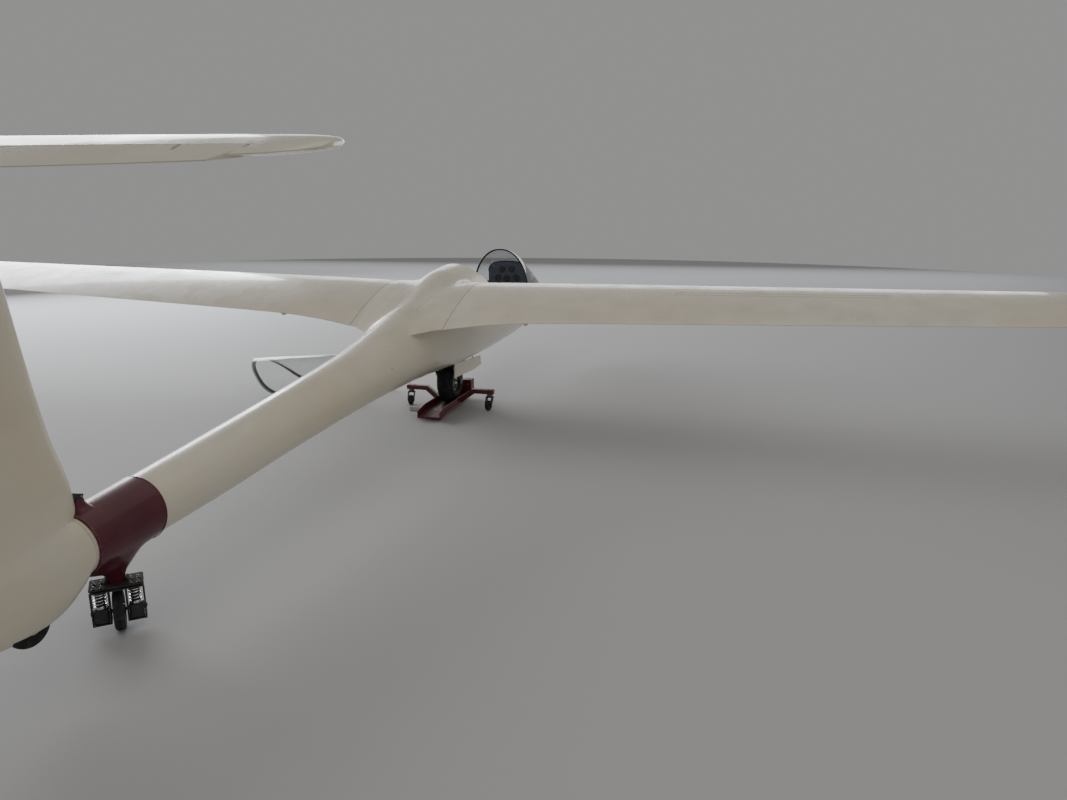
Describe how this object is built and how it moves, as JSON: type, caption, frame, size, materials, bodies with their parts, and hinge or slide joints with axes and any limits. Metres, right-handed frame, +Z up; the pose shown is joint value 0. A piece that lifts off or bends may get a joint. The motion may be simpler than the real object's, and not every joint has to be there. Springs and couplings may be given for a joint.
{
  "type": "sailplane glider on ground dollies",
  "caption": "Single-seat T-tail sailplane glider, rear canopy off and laid beside it, parked on a main wheel dolly and a tail dolly.",
  "frame": {"origin": "floor below the middle of the overall box, halfway along the length and span", "axes": "+Z up, nose towards -Y, port wing towards +X"},
  "size_m": [15, 7.11, 1.7781],
  "materials": {
    "gelcoat": "glossy cream gelcoat",
    "canopy_clear": "clear acrylic",
    "canopy_frame": "satin black",
    "panel": "matt blue grey",
    "dial": "black dials behind glass",
    "lining": "light grey laminate",
    "fabric": "dark woven cloth",
    "tyre": "black tyre rubber",
    "rubber": "castor rubber",
    "maroon_gloss": "glossy maroon laminate",
    "dolly_paint": "dark red enamel",
    "black_steel": "black painted steel",
    "bare_steel": "zinc plated steel",
    "aluminium": "machined aluminium"
  },
  "bodies": {
    "airframe": {"fuselage_pod": "gelcoat", "tail_boom": "gelcoat", "fin": "gelcoat", "tailplane": "gelcoat", "wing_port": "gelcoat", "wing_starboard": "gelcoat", "windscreen": "canopy_clear", "windscreen_arch": "canopy_frame", "rear_canopy_glass": "canopy_clear", "rear_canopy_frame": "canopy_frame", "instrument_panel": "panel", "glare_shield": "panel", "instrument_dials": "dial", "seat_pan": "lining", "seat_cushion": "fabric", "back_cushion": "fabric", "control_stick": "black_steel", "rudder_pedals": "aluminium", "main_gear_legs": "black_steel", "gear_door_port": "gelcoat", "gear_door_starboard": "gelcoat", "tail_wheel": "tyre", "dolly_tray": "dolly_paint", "dolly_front_stop": "dolly_paint", "dolly_arm_port": "dolly_paint", "dolly_arm_starboard": "dolly_paint", "dolly_side_tube": "bare_steel", "tail_collar": "maroon_gloss", "tail_collar_clasp": "dolly_paint"},
    "rudder": {"rudder": "gelcoat"},
    "elevator": {"elevator": "gelcoat"},
    "aileron_port": {"aileron_port": "gelcoat"},
    "aileron_starboard": {"aileron_starboard": "gelcoat"},
    "main_wheel": {"main_tyre": "tyre", "main_wheel_hub": "aluminium"},
    "castor_port": {"castor_port_fork": "black_steel"},
    "castor_port_roller": {"castor_port_wheel": "rubber"},
    "castor_starboard": {"castor_starboard_fork": "black_steel"},
    "castor_starboard_roller": {"castor_starboard_wheel": "rubber"},
    "tail_castor": {"tail_castor_plate": "bare_steel", "tail_castor_frames": "black_steel", "tail_castor_spring_port": "bare_steel", "tail_castor_spring_starboard": "bare_steel"},
    "tail_castor_roller": {"tail_castor_wheel": "rubber"}
  },
  "joints": [
    {"name": "rudder_hinge", "type": "hinge", "parent": "airframe", "child": "rudder", "pos_m": [0, 3.247, 0.9], "axis": [0, 0, 1], "range_deg": [-30, 30]},
    {"name": "elevator_hinge", "type": "hinge", "parent": "airframe", "child": "elevator", "pos_m": [0, 3.18069, 1.70825], "axis": [1, 0, 0], "range_deg": [-12, 33]},
    {"name": "main_wheel_spin", "type": "hinge", "parent": "airframe", "child": "main_wheel", "pos_m": [0, -0.95, 0.2153], "axis": [1, 0, 0], "continuous": true},
    {"name": "castor_port_swivel", "type": "hinge", "parent": "airframe", "child": "castor_port", "pos_m": [0.332, -0.95, 0.1], "axis": [0, 0, 1], "continuous": true},
    {"name": "castor_starboard_swivel", "type": "hinge", "parent": "airframe", "child": "castor_starboard", "pos_m": [-0.332, -0.95, 0.1], "axis": [0, 0, 1], "continuous": true},
    {"name": "tail_castor_swivel", "type": "hinge", "parent": "airframe", "child": "tail_castor", "pos_m": [0, 2.573, 0.17], "axis": [0, 0, 1], "continuous": true},
    {"name": "aileron_port_hinge", "type": "hinge", "parent": "airframe", "child": "aileron_port", "pos_m": [4.355, -0.338, 0.966], "axis": [0.9985, -0.0474, 0.0266], "range_deg": [-18, 18]},
    {"name": "aileron_starboard_hinge", "type": "hinge", "parent": "airframe", "child": "aileron_starboard", "pos_m": [-4.355, -0.338, 0.966], "axis": [0.9985, 0.0474, -0.0266], "range_deg": [-18, 18]},
    {"name": "castor_port_spin", "type": "hinge", "parent": "castor_port", "child": "castor_port_roller", "pos_m": [0.32866, -0.92623, 0.0375], "axis": [0.9903, 0.1392, 0], "continuous": true},
    {"name": "castor_starboard_spin", "type": "hinge", "parent": "castor_starboard", "child": "castor_starboard_roller", "pos_m": [-0.32783, -0.92636, 0.0375], "axis": [0.9848, -0.1736, 0], "continuous": true},
    {"name": "tail_castor_spin", "type": "hinge", "parent": "tail_castor", "child": "tail_castor_roller", "pos_m": [-0.02099, 2.59715, 0.078], "axis": [0.7547, 0.6561, 0], "continuous": true}
  ],
  "couplings": [
    {"joint": "aileron_starboard_hinge", "follows": "aileron_port_hinge", "ratio": -1}
  ]
}
